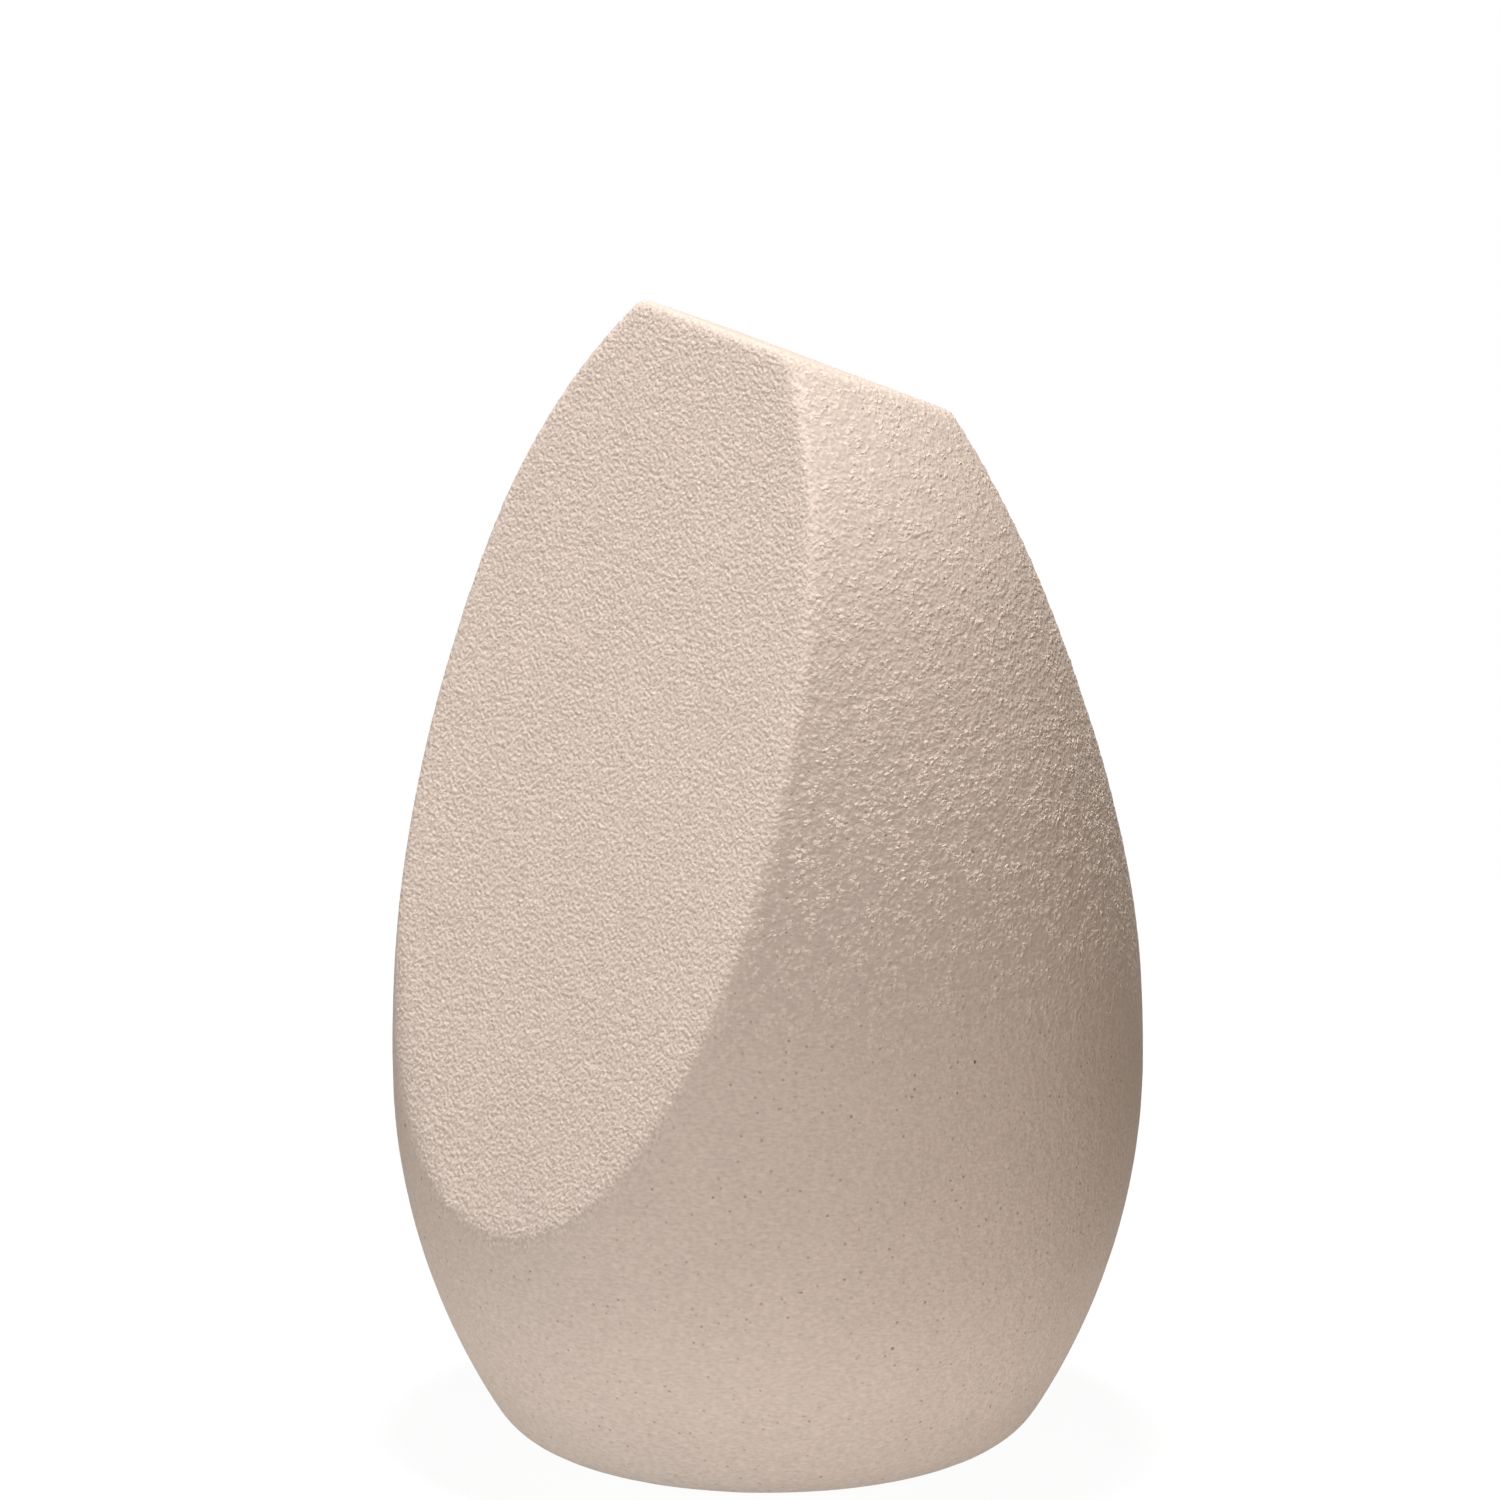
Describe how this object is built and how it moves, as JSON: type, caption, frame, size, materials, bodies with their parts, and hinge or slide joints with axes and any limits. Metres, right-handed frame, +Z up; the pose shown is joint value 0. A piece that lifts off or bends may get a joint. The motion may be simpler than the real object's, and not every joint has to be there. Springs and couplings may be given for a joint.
{
  "type": "makeup sponge",
  "caption": "Egg-shaped makeup sponge of fine open-cell foam with a flat foot, opposite leaning flat faces and a slanted tip, for dabbing and blending cosmetics.",
  "frame": {"origin": "centre of the flat foot that the sponge stands on", "axes": "+Z up the egg's axis to the tip, -Y out of the front flat face, +Y the way that the tip cut falls"},
  "size_m": [0.04, 0.0388, 0.0619],
  "materials": {
    "foam": "fine open cells, matte, light beige"
  },
  "bodies": {
    "root": {"foam_body": "foam"}
  },
  "joints": []
}
